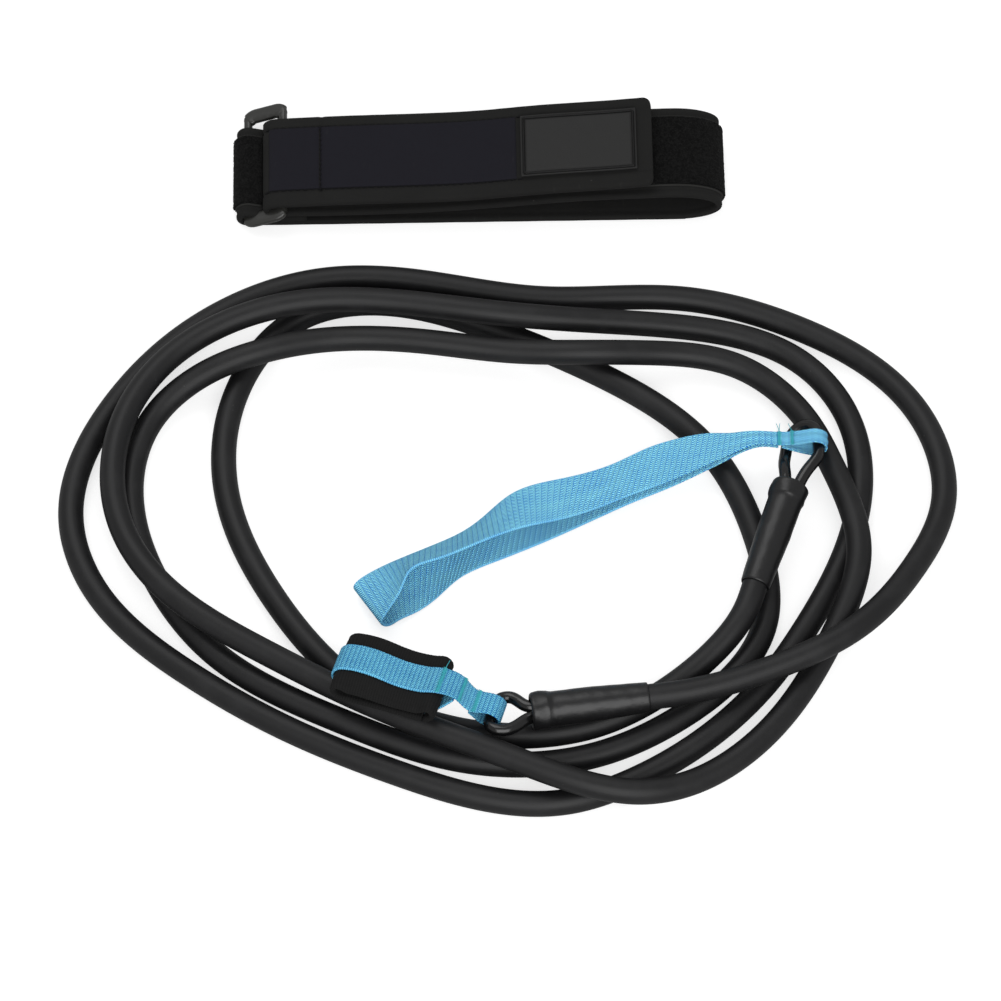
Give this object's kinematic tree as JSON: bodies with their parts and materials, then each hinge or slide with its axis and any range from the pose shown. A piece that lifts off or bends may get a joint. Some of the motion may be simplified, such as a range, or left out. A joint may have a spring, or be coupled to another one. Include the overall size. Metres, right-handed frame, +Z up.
{
  "type": "stationary swim tether",
  "caption": "Waist belt, long elastic tube in loops, a webbing anchor strap and a padded cuff, for swimming on the spot in a pool.",
  "frame": {"origin": "on the floor plane under the middle of the box of every piece but the elastic tube", "axes": "+Z up from the floor, +X to the right along the folded belt, +Y away, from the cuff towards the belt"},
  "size_m": [0.4482, 0.4089, 0.0412],
  "materials": {
    "belt_fabric": "matt laminated knit",
    "loop_pile": "fuzzy loop pile",
    "hook_tape": "hook tape",
    "ring_plastic": "satin moulded",
    "navy_lining": "smooth matt knit",
    "badge_rubber": "soft satin moulding",
    "tube_rubber": "satin extruded rubber",
    "sleeve_rubber": "satin moulding",
    "plug_plastic": "moulded",
    "loop_cord": "glossy coated cord",
    "blue_webbing": "ribbed woven webbing",
    "teal_thread": "bar tacked thread",
    "cuff_foam": "knit faced foam"
  },
  "bodies": {
    "tether": {"belt_band": "belt_fabric", "belt_loop_pile": "loop_pile", "ring_tab_pile": "loop_pile", "belt_ring": "ring_plastic", "elastic_tube": "tube_rubber", "anchor_sleeve": "sleeve_rubber", "cuff_sleeve": "sleeve_rubber", "anchor_plug": "plug_plastic", "cuff_plug": "plug_plastic", "anchor_cord": "loop_cord", "cuff_cord": "loop_cord"},
    "flap": {"belt_flap": "belt_fabric", "flap_lining": "navy_lining", "flap_hook_patch": "hook_tape", "badge_patch": "badge_rubber"},
    "anchor_loop": {"anchor_strap": "blue_webbing", "anchor_bartack_1": "teal_thread", "anchor_bartack_2": "teal_thread"},
    "cuff": {"cuff_pad": "cuff_foam", "cuff_webbing": "blue_webbing", "cuff_bartack_1": "teal_thread", "cuff_bartack_2": "teal_thread", "cuff_bartack_3": "teal_thread"}
  },
  "joints": [
    {"name": "flap_peel", "type": "hinge", "parent": "tether", "child": "flap", "pos_m": [-0.10374, 0.14827, 0.021], "axis": [0.0174, -0.9998, 0], "range_deg": [0, 160]},
    {"name": "anchor_swing", "type": "hinge", "parent": "tether", "child": "anchor_loop", "pos_m": [0.1434, -0.0222, 0.0245], "axis": [0, 1, 0], "range_deg": [0, 75]},
    {"name": "cuff_swing", "type": "hinge", "parent": "tether", "child": "cuff", "pos_m": [-0.0176, -0.172, 0.0224], "axis": [0.3007, 0.9537, 0], "range_deg": [0, 70]}
  ]
}
